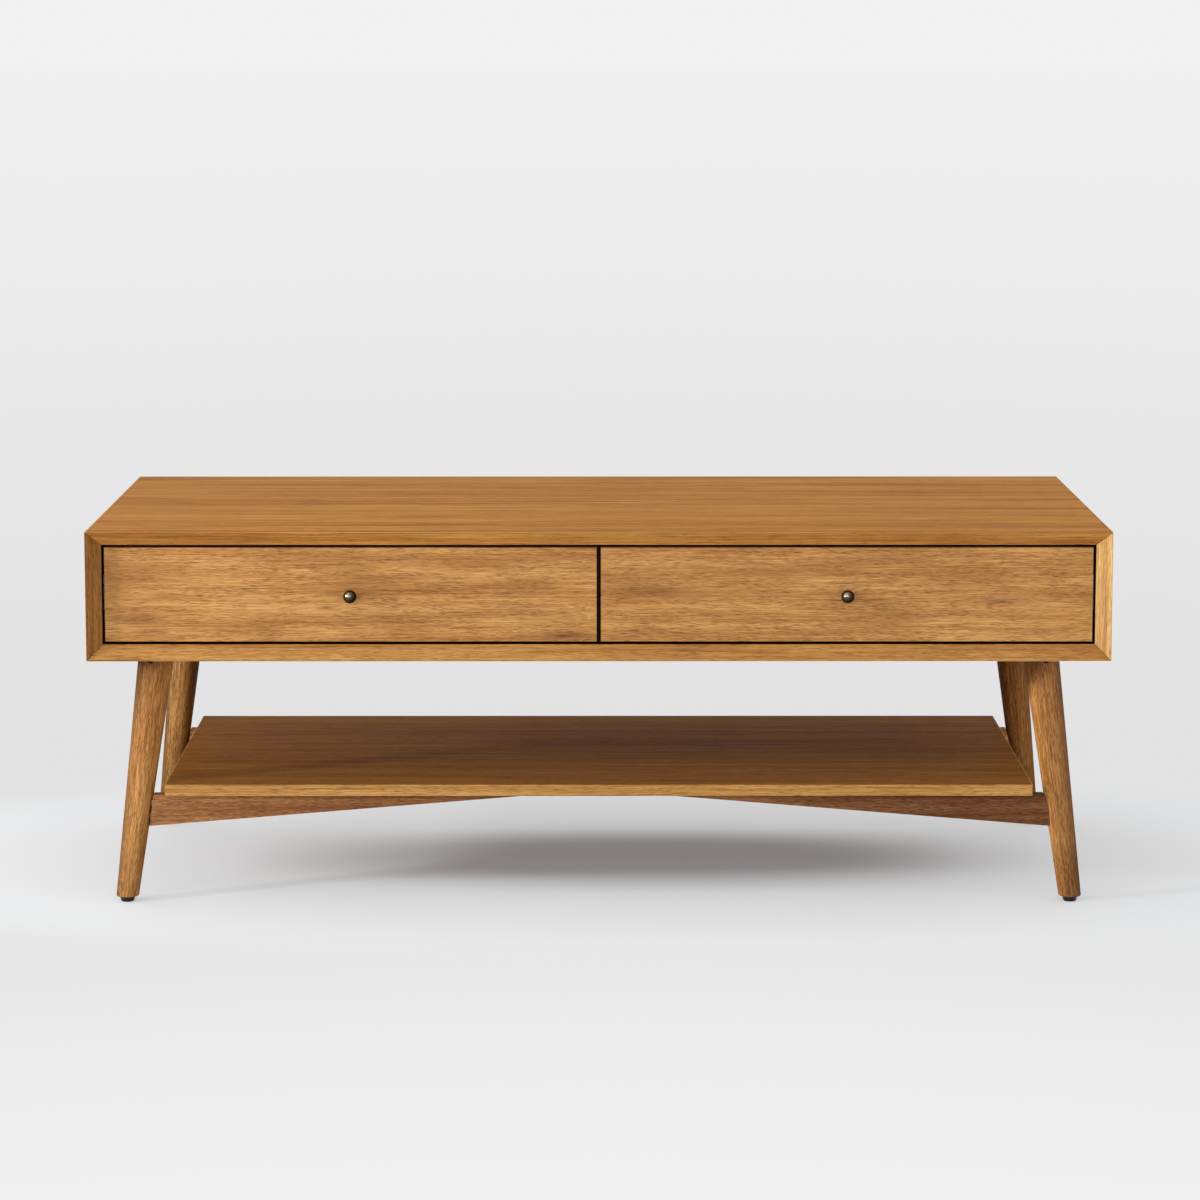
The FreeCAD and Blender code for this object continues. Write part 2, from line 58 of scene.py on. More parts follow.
def add(tree, kind, inputs, stops=(), **settings):
    """Adds a shader node. An input is a value or another node's socket, and a stop is a place
    on a colour ramp with its colour."""
    node = tree.nodes.new("ShaderNode" + kind)
    for name, value in settings.items():
        setattr(node, name, value)
    for number, (place, colour) in enumerate(stops):
        ramp = node.color_ramp.elements
        stop = ramp[number] if number < 2 else ramp.new(place)
        stop.position = place
        stop.color = linear(colour)
    for name, value in inputs.items():
        if isinstance(value, bpy.types.NodeSocket):
            tree.links.new(value, node.inputs[name])
        else:
            node.inputs[name].default_value = value
    return node


def new_material(name):
    """A material with an empty tree, and that tree."""
    material = bpy.data.materials.new(name)
    material.use_nodes = True
    material.node_tree.nodes.clear()
    return material, material.node_tree


def stretched(tree, vector, length, width, detail=1.0, roughness=0.5):
    """Noise whose spots are length by width millimetres, long way along the grain."""
    scale = (1000 / length, 1000 / width, 1000 / width)
    spots = add(tree, "Mapping", {"Vector": vector, "Scale": scale})
    inputs = {"Vector": spots.outputs[0], "Scale": 1.0, "Detail": detail, "Roughness": roughness}
    return add(tree, "TexNoise", inputs)


def stained_wood(name, turn, start, colours, pores=0.5, wave=2.5, curl=0.5, contrast=1.0,
                 lines=0.0, blush=0.5, smudges=(), tints=(), rim=0.0, inside_shade=None, shine=0.2):
    """Acacia under stain and satin lacquer or, in paler colours, beech and birch. The stain
    leaves soft bands as wide as a finger, streaks of a millimetre or two, redder patches
    (blush), dark growth lines (lines) and short dark pores in rows (pores), all along the grain,
    which wanders by wave millimetres and curls by curl. turn lays the grain along the piece, and
    start is where in the wood the piece is cut. colours run from the darkest streak to the
    lightest band, then the pores, and a higher contrast brings them out. A smudge is a mineral
    stain: its middle, length and height in millimetres. A tint makes the wood lighter or darker,
    over its length (Object, in metres) or on the faces that look one way (Normal): the
    direction, where it starts and is whole, and its red, green and blue shares. Most tints are
    painted light and shade, and some are dark hairlines at joints. rim is the strength of a
    painted highlight on the narrow front rim, and shine how much the lacquer reflects. The
    argument after rim paints shade on the faces inside the case, as dark as the gaps look: its
    half width, and its lowest and highest, in metres."""
    material, tree = new_material(name)
    place = add(tree, "TexCoord", {}).outputs["Object"]
    along = add(tree, "Mapping", {"Vector": place, "Rotation": turn, "Location": start})

    # the grain wanders over a hand's length and curls over a finger's width
    bent = along.outputs[0]
    for length, width, reach in ((240, 70, wave), (22, 9, curl)):
        drift = stretched(tree, bent, length, width)
        swing = (0.0, 2 * reach / 1000, 2 * reach / 1000)
        centred = add(tree, "VectorMath", {0: drift.outputs["Color"], 1: (0.5, 0.5, 0.5)},
                      operation="SUBTRACT")
        step = add(tree, "VectorMath", {0: centred.outputs[0], 1: swing}, operation="MULTIPLY")
        bent = add(tree, "VectorMath", {0: bent, 1: step.outputs[0]}, operation="ADD").outputs[0]

    bands = stretched(tree, bent, 420, 15, 2.0, 0.6)
    streaks = stretched(tree, bent, 130, 1.5, 2.0, 0.6)
    fibres = stretched(tree, bent, 26, 0.8)
    tone = add(tree, "Mix", {0: 0.5, 2: bands.outputs[0], 3: streaks.outputs[0]})
    tone = add(tree, "Mix", {0: 0.3, 2: tone.outputs[0], 3: fibres.outputs[0]})
    dark, middle, light, pore = colours
    spread = 0.15 / contrast
    stops = ((0.5 - spread, dark), (0.5, middle), (0.5 + spread, light))
    colour = add(tree, "ValToRGB", {0: tone.outputs[0]}, stops).outputs[0]

    # redder patches a hand long, and long dark growth lines
    patches = stretched(tree, bent, 150, 28, 2.0)
    red = add(tree, "MapRange", {0: patches.outputs[0], 1: 0.46, 2: 0.72, 3: 0.0, 4: blush})
    colour = add(tree, "Mix", {0: red.outputs[0], 6: colour, 7: linear(dark)},
                 data_type="RGBA").outputs[2]
    if lines:
        growth = stretched(tree, bent, 900, 1.6, 1.0)
        line = add(tree, "MapRange", {0: growth.outputs[0], 1: 0.62, 2: 0.72, 3: 0.0, 4: lines})
        colour = add(tree, "Mix", {0: line.outputs[0], 6: colour, 7: linear(pore)},
                     data_type="RGBA").outputs[2]

    # Each pore is a thin closed tube, 11 mm long. Real ones are 0.2 mm wide, drawn here at
    # 0.7 mm so that they show. Each row starts further along than the last, so that no columns
    # show, and they crowd in some rows.
    pore_length, pore_width, slant = 11.0, 0.7, 7
    slid = add(tree, "VectorMath", {0: bent, 1: (1, slant, slant)}, operation="DOT_PRODUCT")
    crosswise = add(tree, "SeparateXYZ", {0: bent})
    slanted = add(tree, "CombineXYZ", {0: slid.outputs["Value"], 1: crosswise.outputs[1],
                                       2: crosswise.outputs[2]})
    pore_scale = (1000 / pore_length, 1000 / pore_width, 1000 / pore_width)
    cells = add(tree, "Mapping", {"Vector": slanted.outputs[0], "Scale": pore_scale})
    tubes = add(tree, "TexVoronoi", {"Vector": cells.outputs[0], "Scale": 1.0, "Randomness": 1.0})
    chance = add(tree, "SeparateColor", {0: tubes.outputs["Color"]})
    rows = stretched(tree, bent, 60, 7.0, 1.0)
    crowd = add(tree, "MapRange", {0: rows.outputs[0], 1: 0.3, 2: 0.7,
                                   3: 0.3 * pores, 4: 1.7 * pores})
    there = add(tree, "Math", {0: chance.outputs[0], 1: crowd.outputs[0]}, operation="LESS_THAN")
    within = add(tree, "MapRange", {0: tubes.outputs["Distance"], 1: 0.50, 2: 0.34, 3: 0.0, 4: 1.0})
    open_pore = add(tree, "Math", {0: within.outputs[0], 1: there.outputs[0]},
                    operation="MULTIPLY")
    shade = add(tree, "Math", {0: open_pore.outputs[0], 1: 0.7}, operation="MULTIPLY")
    colour = add(tree, "Mix", {0: shade.outputs[0], 6: colour, 7: linear(pore)},
                 data_type="RGBA").outputs[2]

    # a mineral stain follows the streaks at its edge and the fibres inside
    for middle_x, middle_z, length, height in smudges:
        middle_at = (middle_x / 1000, 0, middle_z / 1000)
        moved = add(tree, "VectorMath", {0: place, 1: middle_at}, operation="SUBTRACT")
        moved = add(tree, "VectorMath", {0: moved.outputs[0],
                                         1: (1000 / length, 0.0, 1000 / height)},
                    operation="MULTIPLY")
        away = add(tree, "VectorMath", {0: moved.outputs[0]}, operation="LENGTH")
        ragged = add(tree, "Math", {0: away.outputs["Value"], 1: streaks.outputs[0]},
                     operation="SUBTRACT")
        stain = add(tree, "MapRange", {0: ragged.outputs[0], 1: 0.45, 2: -0.4, 3: 0.0, 4: 1.0})
        fine = add(tree, "MapRange", {0: fibres.outputs[0], 1: 0.40, 2: 0.62, 3: 0.1, 4: 1.0})
        stain = add(tree, "Math", {0: stain.outputs[0], 1: fine.outputs[0]}, operation="MULTIPLY")
        colour = add(tree, "Mix", {0: stain.outputs[0], 6: colour, 7: linear(pore)},
                     data_type="RGBA").outputs[2]

    for source, direction, start_at, whole_at, shares in tints:
        way = add(tree, "TexCoord", {}).outputs[source]
        way = add(tree, "VectorMath", {0: way, 1: direction}, operation="DOT_PRODUCT")
        amount = add(tree, "MapRange", {0: way.outputs["Value"], 1: start_at, 2: whole_at})
        colour = add(tree, "Mix", {0: amount.outputs[0], 6: colour, 7: (*shares, 1)},
                     data_type="RGBA", blend_type="MULTIPLY").outputs[2]

    # a painted highlight on the narrow front rim, stronger along some bands than along others
    if rim:
        way = add(tree, "TexCoord", {}).outputs["Normal"]
        way = add(tree, "VectorMath", {0: way, 1: (0, -1, 0)}, operation="DOT_PRODUCT")
        rim_highlight_mask = add(tree, "MapRange", {0: way.outputs["Value"], 1: 0.80, 2: 0.95})
        rim_highlight = add(tree, "MapRange", {0: bands.outputs[0], 1: 0.40, 2: 0.60, 3: rim / 4, 4: rim})
        rim_highlight_mask = add(tree, "Math", {0: rim_highlight_mask.outputs[0], 1: rim_highlight.outputs[0]}, operation="MULTIPLY")
        colour = add(tree, "Mix", {0: rim_highlight_mask.outputs[0], 6: colour, 7: linear("F2CC98")},
                     data_type="RGBA").outputs[2]

    # painted shade: the faces inside the case are darkened almost to black, as dark as the gaps
    # look
    if inside_shade:
        half_width, lowest, highest = inside_shade
        split = add(tree, "SeparateXYZ", {0: place})
        sideways = add(tree, "Math", {0: split.outputs["X"]}, operation="ABSOLUTE")
        between = add(tree, "Math", {0: sideways.outputs[0], 1: half_width},
                      operation="LESS_THAN")
        above = add(tree, "Math", {0: split.outputs["Z"], 1: lowest}, operation="GREATER_THAN")
        below = add(tree, "Math", {0: split.outputs["Z"], 1: highest}, operation="LESS_THAN")
        inner = add(tree, "Math", {0: between.outputs[0], 1: above.outputs[0]},
                    operation="MULTIPLY")
        inner = add(tree, "Math", {0: inner.outputs[0], 1: below.outputs[0]}, operation="MULTIPLY")
        inner = add(tree, "Math", {0: inner.outputs[0], 1: 0.95}, operation="MULTIPLY")
        colour = add(tree, "Mix", {0: inner.outputs[0], 6: colour, 7: linear("1B110A")},
                     data_type="RGBA").outputs[2]

    # the lacquer sinks a little over the pores and dulls there
    rough = add(tree, "MapRange", {0: open_pore.outputs[0], 3: 0.6, 4: 0.8})
    height = add(tree, "Math", {0: fibres.outputs[0], 1: open_pore.outputs[0]},
                 operation="SUBTRACT")
    bump = add(tree, "Bump", {"Height": height.outputs[0], "Strength": 0.3, "Distance": 0.0002})
    shader = add(tree, "BsdfPrincipled", {"Base Color": colour, "Roughness": rough.outputs[0],
                                          "Normal": bump.outputs[0], "IOR": 1.5,
                                          "Specular IOR Level": shine})
    add(tree, "OutputMaterial", {"Surface": shader.outputs[0]})
    return material


def finish_node(name, material):
    """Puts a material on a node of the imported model."""
    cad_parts[name].material_slots[0].material = material


def pick(piece, part, wanted):
    """Opens the piece for editing, with only those of its vertices or edges selected for which
    wanted, given the item's points, is true."""
    bpy.context.view_layer.objects.active = piece
    bpy.ops.object.mode_set(mode="OBJECT")
    bpy.ops.object.select_all(action="DESELECT")
    piece.select_set(True)
    bpy.ops.object.mode_set(mode="EDIT")
    bpy.ops.mesh.select_mode(type={"vertices": "VERT", "edges": "EDGE"}[part])
    bpy.ops.mesh.select_all(action="DESELECT")
    bpy.ops.object.mode_set(mode="OBJECT")
    points = [vertex.co.copy() for vertex in piece.data.vertices]
    for item in getattr(piece.data, part):
        numbers = [item.index] if part == "vertices" else item.vertices
        item.select = wanted([points[number] for number in numbers])
    bpy.ops.object.mode_set(mode="EDIT")


def eased_copy(node, width, wanted):
    """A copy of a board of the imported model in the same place, with the wanted edges rounded.
    Only the rounded arrises are shaded smooth, so that the faces stay flat."""
    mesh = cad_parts[node].data.copy()
    piece = bpy.data.objects.new(node + "_eased", mesh)
    bpy.context.scene.collection.objects.link(piece)
    pick(piece, "vertices", lambda points: True)
    bpy.ops.mesh.customdata_custom_splitnormals_clear()
    bpy.ops.mesh.remove_doubles(threshold=0.000001)
    bpy.ops.mesh.dissolve_limited(angle_limit=radians(0.5))
    bpy.ops.mesh.faces_shade_flat()
    pick(piece, "edges", wanted)
    bpy.ops.mesh.bevel(offset=width, segments=3, affect="EDGES")
    bpy.ops.mesh.faces_shade_smooth()
    bpy.ops.object.mode_set(mode="OBJECT")
    return piece


def put_in(piece, node, body, material):
    """Gives a new piece its material, and lets it stand for a node and ride with a body."""
    piece.data.materials.clear()
    piece.data.materials.append(material)
    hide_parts(node)
    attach(piece, body)


# The sloping edges reach back 20 mm from the rim. The rim is 1 mm wide, so the rounding on each
# side of it stays just under half of that. An edge is looked for within half a millimetre.
half_depth, slope_depth, rim_round = 0.305, 0.020, 0.00049
slack, long_edge, mitre_step = 0.0005, 0.05, 0.005


def front_arris(points):
    """True for the long edges of the narrow rim in front and behind, and for the mitres across
    the sloping edges, where the hairline of the joint shows."""
    step = points[0] - points[1]
    on_rim = all(abs(point.y) > half_depth - slack for point in points)
    on_slope = all(abs(point.y) > half_depth - slope_depth - slack for point in points)
    mitre = on_slope and abs(step.x) > mitre_step and abs(step.z) > mitre_step
    return on_rim and step.length > long_edge or mitre


def edge_light_and_shade(shares):
    """Painted light and shade on the veneer of an edge that looks to the front, flat or sloping."""
    return ("Normal", (0, -1, 0), 0.35, 0.6, shares)


# The directions of the grain, and the dark hairlines on the small faces along the mitres
along_x, along_y, along_z = (0, 0, 0), (0, 0, -pi / 2), (0, pi / 2, 0)
joint_line = (0.5, 0.45, 0.4)
flat_joints = [("Normal", (way, 0, 0), 0.1, 0.3, joint_line) for way in (1, -1)]
upright_joints = [("Normal", (0, 0, way), 0.1, 0.3, joint_line) for way in (1, -1)]

# The faces inside the case, which get painted shade, with a tenth of a millimetre to spare
case_inside = (0.5921, 0.3199, 0.4396)
honey = ("8A5322", "B07738", "C28C46", "6B3D18")
top_colours = ("83501E", "AB7233", "BD883F", "6B3D18")
top_wood = stained_wood("top_veneer_stained", along_x, (0.3, 0, 0), top_colours, pores=0.12,
                        wave=1.5, curl=0.2, contrast=1.4, lines=0.6, blush=0.25, rim=0.6,
                        tints=(edge_light_and_shade((1.15, 1.21, 1.44)), *flat_joints),
                        inside_shade=case_inside, shine=0.02)
base_wood = stained_wood("base_veneer_stained", along_x, (1.7, 0.2, 0), honey, wave=1.5,
                         curl=0.4, contrast=1.4, blush=0.3, rim=0.6,
                         tints=(edge_light_and_shade((0.96, 1.08, 1.40)), *flat_joints),
                         inside_shade=case_inside, shine=0.1)
left_wood = stained_wood("left_veneer_stained", along_z, (0, 0, 3.1), honey, contrast=1.3,
                         blush=0.3, rim=0.5,
                         tints=(edge_light_and_shade((0.63, 0.63, 0.71)), *upright_joints),
                         inside_shade=case_inside, shine=0.1)
right_wood = stained_wood("right_veneer_stained", along_z, (0.4, 0.3, 5.6), honey, pores=0.4,
                          contrast=1.3, blush=0.3, rim=0.5,
                          tints=(edge_light_and_shade((1.36, 1.78, 2.55)), *upright_joints),
                          inside_shade=case_inside, shine=0.45)
for node, slot, wood in (
    ("top_panel", "top_veneer", top_wood),
    ("bottom_panel", "base_veneer", base_wood),
    ("left_side_panel", "side_veneer", left_wood),
    ("right_side_panel", "side_veneer", right_wood),
):
    put_in(eased_copy(node, rim_round, front_arris), node, "case", wood)


# The back, the divider and the tongues in the mitres
# The back is a veneered panel held in grooves all round, the divider a board housed top and
# bottom. The tongues, like the dowels of the rails, are bare beech: pale, with short fine flecks.

back_wood = stained_wood("back_veneer_stained", along_x, (4.4, 0, 0.7), honey, pores=0.15,
                         wave=1.5, curl=0.2, contrast=1.2, lines=0.4, blush=0.3, shine=0.1)
finish_node("back_panel", back_wood)
# painted shade: the divider's colours are darker than the case's, for the middle gap
divider_shade_colours = ("6A4322", "80552E", "8F6236", "50321A")
divider_wood = stained_wood("divider_veneer_stained", along_y, (5.2, 0, 0), divider_shade_colours,
                            inside_shade=case_inside)
finish_node("centre_divider", divider_wood)
beech_colours = ("C39A68", "D8B082", "E4C396", "AE8250")
beech = stained_wood("bare_beech", along_x, (0, 0, 8.3), beech_colours, pores=0.35, blush=0.3)
for node in ("mitre_splines", "rail_dowels"):
    finish_node(node, beech)


# The legs
# Turned from solid acacia to a straight taper and leaning both ways, so the grain follows each
# leg's own axis. Painted light and shade lie on each leg's flanks and, on the front legs, on the
# top under the case, and each leg is darker towards the foot. A bolt down its axis holds each
# in a socket.

leg_splay, leg_height = 0.037, 0.3025
# painted shade on the top of the front legs under the case; the front right leg darker at its tip
front_left_top_shade = ("Object", (-1, 0, 0.5), 0.655, 0.695, (0.40, 0.36, 0.28))
front_right_top_shade = ("Object", (-1, 0, 0.5), -0.403, -0.385, (0.40, 0.36, 0.32))
front_right_tip = ("Object", (0, 0, -1), -0.075, -0.04, (0.68, 0.60, 0.54))
# row, side, colours, the shares of the painted light and shade on the left flank and on the
# right flank, the shares towards the foot, other tints
legs = (
    ("front", "left", ("875529", "B57D45", "CD9A5D", "5B361A"),
     (0.67, 0.67, 0.67), (0.93, 0.90, 0.80), (0.74, 0.74, 0.72), (front_left_top_shade,)),
    ("front", "right", ("835428", "AD7743", "C69259", "543018"),
     (1.80, 1.90, 1.80), (0.54, 0.48, 0.44), (0.70, 0.70, 0.68),
     (front_right_top_shade, front_right_tip)),
    ("back", "left", ("7A4D23", "A4723C", "C19152", "543116"),
     (0.76, 0.85, 1.00), (0.55, 0.46, 0.28), (0.85, 0.85, 0.85), ()),
    ("back", "right", ("663D17", "8C5928", "A97239", "44250F"),
     (0.50, 0.42, 0.30), (1.09, 1.12, 1.32), (0.85, 0.85, 0.85), ()),
)
for number, (row, side, leg_colours, left_flank_light_and_shade, right_flank_light_and_shade, foot, more) in enumerate(legs):
    lean = Vector((leg_splay if side == "right" else -leg_splay,
                   leg_splay if row == "back" else -leg_splay, -leg_height))
    turn = lean.rotation_difference(Vector((1, 0, 0))).to_euler()
    leg_wood = stained_wood(f"{row}_{side}_leg_wood_stained", turn,
                            (0.4 * number, 0.9, 6.6 + number), leg_colours, pores=0.65,
                            wave=1.5, contrast=1.35, lines=0.3, shine=0.1,
                            tints=(("Normal", (1, 0, 0), 0.0, 0.9, right_flank_light_and_shade),
                                   ("Normal", (-1, 0, 0), 0.3, 0.9, left_flank_light_and_shade),
                                   ("Object", (0, 0, -1), -0.28, -0.05, foot), *more))
    finish_node(f"{row}_{side}_leg", leg_wood)


# The rails
# Solid acacia, straight on top and rising from each leg to the middle underneath. They took the
# stain darker and redder than the case, and their arrises are eased. The front one is darkened
# towards its right end, painted shade, and the back one has paler colours, painted light.
# Dowels hold them to the legs.

rail_round = 0.0005
rail_colours = ("724626", "905F38", "A5774A", "4A2B15")
# painted shade: the front rail darkens towards its right end
rail_wood = stained_wood("front_rail_wood_stained", along_x, (7.7, 0.5, 0.1), rail_colours,
                         pores=0.9, wave=3.0, curl=1.0, contrast=1.3, shine=0.1,
                         tints=(("Object", (1, 0, 0), -0.50, 0.45, (0.52, 0.48, 0.48)),))
# painted light: the back rail's colours are paler than the front rail's
back_rail_lit_colours = ("8F5D38", "B58055", "CB9A70", "6A4026")
back_rail_wood_lit = stained_wood("back_rail_wood_painted_light", along_x, (3.9, 0.8, 0.6),
                              back_rail_lit_colours, pores=0.7, wave=3.0, curl=1.0, contrast=1.2,
                              shine=0.1)


def rail_arris(points):
    """True for the long edges of a rail."""
    return (points[0] - points[1]).length > long_edge


for row, wood in (("front", rail_wood), ("back", back_rail_wood_lit)):
    rail = eased_copy(row + "_rail", rail_round, rail_arris)
    put_in(rail, row + "_rail", "case", wood)


# The shelf
# A thin veneered board, browner than the case. Its front and back edges are lightened, painted
# light, and its rounded arrises carry a painted highlight at the ends. Screwed to the rails
# from below.

shelf_colours = ("6F4117", "8F5E22", "A67535", "523010")
# painted light on the front and back edges, and a painted highlight on the arrises at the ends
shelf_light_and_highlights = (
    edge_light_and_shade((1.40, 1.68, 3.1)),
    ("Normal", (0, 1, 0), 0.35, 0.6, (1.25, 1.40, 2.2)),
    ("Normal", (0.7, 0, 0.7), 0.72, 0.82, (4.0, 4.5, 5.5)),
    ("Normal", (-0.7, 0, 0.7), 0.72, 0.82, (2.4, 2.8, 3.6)),
)
shelf_wood = stained_wood("shelf_veneer_stained", along_x, (9.1, 0.5, 0.3), shelf_colours,
                          pores=0.35, wave=1.5, curl=0.3, lines=0.3, blush=0.2,
                          tints=shelf_light_and_highlights, shine=0.02)
finish_node("lower_shelf", shelf_wood)


# The drawer fronts
# Boards veneered in acacia with curly grain, golden and brown by turns, with a few mineral
# stains. Their front arris is rounded, and painted shade darkens it and the edges, as in the
# gaps round the fronts. Screwed on from inside the boxes.

front_colours = ("8C5A2A", "AD7B42", "C39456", "603A1A")
smudges = {
    "left": ((-325, 364, 17, 5), (-548, 350, 40, 9), (-40, 331, 46, 7)),
    "right": ((62, 384, 60, 9), (480, 372, 70, 9)),
}
around = ((1, 0, 0), (-1, 0, 0), (0, 0, 1), (0, 0, -1))
# painted shade: the edges and the rounded arris of each front are darkened, as in the gaps
painted_gap_shade = [("Normal", way, 0.2, 0.7, (0.50, 0.40, 0.32)) for way in around]
for number, side in enumerate(("left", "right")):
    front_wood = stained_wood(side + "_front_veneer_stained", along_x,
                              (2.0 + 3 * number, 0.4, 1.9 * number), front_colours, pores=0.6,
                              wave=3.0, curl=0.4, contrast=1.25, blush=0.6,
                              smudges=smudges[side], tints=painted_gap_shade)
    finish_node(side + "_drawer_front", front_wood)


# The drawer boxes
# Beech boards, dovetailed at the corners, round a bottom of birch plywood that sits in grooves.
# Clear lacquer keeps both pale, the beech with fine flecks, the birch with a broad quiet figure.

box_along = stained_wood("box_beech_lengthwise", along_y, (2.2, 0.4, 1.3), beech_colours,
                         pores=0.35, blush=0.3)
box_across = stained_wood("box_beech_crosswise", along_x, (6.1, 0.8, 2.3), beech_colours,
                          pores=0.35, blush=0.3)
birch_colours = ("CDB083", "DDC59C", "E8D5B0", "C0A073")
birch = stained_wood("birch_plywood_clear", along_x, (3.3, 0.1, 0.9), birch_colours, pores=0.1,
                     wave=9.0, curl=0.2, blush=0.2)
for side in ("left", "right"):
    for board in ("box_front", "box_back"):
        finish_node(f"{side}_drawer_{board}", box_across)
    for board in ("inner_side", "outer_side"):
        finish_node(f"{side}_drawer_{board}", box_along)
    finish_node(f"{side}_drawer_bottom", birch)


# The knobs
# Turned brass balls on a neck and collar, blackened to an antique bronze and waxed, with a brown
# sheen. The colour is painted paler on the upper left front of each ball, a painted highlight,
# and darker away from it, a painted reflection. A screw from inside the drawer holds each.

bronze, tree = new_material("knob_brass_antique")
place = add(tree, "TexCoord", {}).outputs["Object"]
cloud = stretched(tree, place, 5.0, 5.0, 3.0)
facing = add(tree, "TexCoord", {}).outputs["Normal"]
# painted highlight and reflection: paler where the ball faces the upper left front, darker away
# from it; the noise adds patina
toward_highlight = add(tree, "VectorMath", {0: facing, 1: (-0.33, -0.86, 0.39)}, operation="DOT_PRODUCT")
patina_and_highlight = add(tree, "Math", {0: cloud.outputs[0], 1: 0.12, 2: -0.10}, operation="MULTIPLY_ADD")
patina_and_highlight = add(tree, "Math", {0: toward_highlight.outputs["Value"], 1: patina_and_highlight.outputs[0]}, operation="ADD")
brown = add(tree, "ValToRGB", {0: patina_and_highlight.outputs[0]},
            ((0.30, "1E140F"), (0.66, "4A3B31"), (0.88, "6E5F52"), (0.96, "B8AA98")))
sheen = add(tree, "MapRange", {0: cloud.outputs[0], 1: 0.3, 2: 0.7, 3: 0.10, 4: 0.18})
shader = add(tree, "BsdfPrincipled", {"Base Color": brown.outputs[0], "Metallic": 1.0,
                                      "Roughness": sheen.outputs[0]})
add(tree, "OutputMaterial", {"Surface": shader.outputs[0]})

ball_radius, ball_middle, neck_radius, collar_radius = 0.008, 0.018, 0.0035, 0.005
neck_end, collar_start, hair = -0.0030, -0.0015, 0.00001
for side in ("left", "right"):
    low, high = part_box(side + "_drawer_knob")
    seat = Vector(((low.x + high.x) / 2, high.y, (low.z + high.z) / 2))
    bpy.ops.object.select_all(action="DESELECT")
    bpy.ops.mesh.primitive_uv_sphere_add(segments=64, ring_count=32, radius=ball_radius)
    knob = bpy.context.object
    knob.name = side + "_knob_ball"
    to_front = Matrix.Translation(seat - Vector((0, ball_middle, 0)))
    knob.data.transform(to_front @ Matrix.Rotation(pi / 2, 4, "X"))
    pick(knob, "vertices", lambda points: True)
    cut = seat.y - ball_middle + (ball_radius ** 2 - neck_radius ** 2) ** 0.5
    bpy.ops.mesh.bisect(plane_co=(0, cut, 0), plane_no=(0, 1, 0), clear_outer=True)
    # the neck, the step out to the collar, and the collar to the drawer front
    for reach, radius in ((neck_end, neck_radius), (collar_start, collar_radius),
                          (0.0, collar_radius)):
        pick(knob, "vertices", lambda points: points[0].y > cut - hair)
        bpy.ops.mesh.select_mode(type="EDGE")
        move = {"value": (0, seat.y + reach - cut, 0)}
        bpy.ops.mesh.extrude_edges_move(TRANSFORM_OT_translate=move)
        bpy.ops.object.mode_set(mode="OBJECT")
        cut = seat.y + reach
        for vertex in knob.data.vertices:
            if vertex.co.y > cut - hair:
                away = Vector((vertex.co.x - seat.x, 0, vertex.co.z - seat.z))
                vertex.co += away.normalized() * radius - away
    pick(knob, "vertices", lambda points: points[0].y > cut - hair)
    bpy.ops.mesh.select_mode(type="EDGE")
    bpy.ops.mesh.edge_face_add()
    pick(knob, "vertices", lambda points: True)
    bpy.ops.mesh.normals_make_consistent(inside=False)
    bpy.ops.object.mode_set(mode="OBJECT")
    bpy.ops.object.shade_smooth_by_angle(angle=radians(40))
    put_in(knob, side + "_drawer_knob", side + "_drawer", bronze)


# The glides and bumpers
# The glides are black nylon, moulded with a fine matt grain that keeps them dull. The bumpers
# are clear rubber pads, milky to the eye, that stop the closed drawers.

def moulded(name, dark, light, grain, dullness, shine=0.5):
    """A moulded plastic or rubber with a fine matt grain of that many millimetres."""
    material, tree = new_material(name)
    place = add(tree, "TexCoord", {}).outputs["Object"]
    cloud = stretched(tree, place, 9.0, 9.0, 3.0)
    colour = add(tree, "ValToRGB", {0: cloud.outputs[0]}, ((0.35, dark), (0.65, light)))
    pits = stretched(tree, place, grain, grain)
    bump = add(tree, "Bump", {"Height": pits.outputs[0], "Strength": 0.3, "Distance": 0.0001})
    rough = add(tree, "MapRange", {0: cloud.outputs[0], 3: dullness - 0.08, 4: dullness + 0.08})
    shader = add(tree, "BsdfPrincipled", {"Base Color": colour.outputs[0],
                                          "Roughness": rough.outputs[0],
                                          "Normal": bump.outputs[0],
                                          "Specular IOR Level": shine})
    add(tree, "OutputMaterial", {"Surface": shader.outputs[0]})
    return material


finish_node("leg_glides", moulded("glide_nylon_black", "0C0B0B", "191817", 0.4, 0.45, 0.3))
finish_node("drawer_bumpers", moulded("bumper_rubber_clear", "C2C0B8", "D2D0C8", 0.5, 0.6))


# The drawer slides, bolts and screws
# Zinc-plated steel. The slides are rolled from strip, which leaves faint lines along them,
# and the fixings have the duller grey of barrel plating.

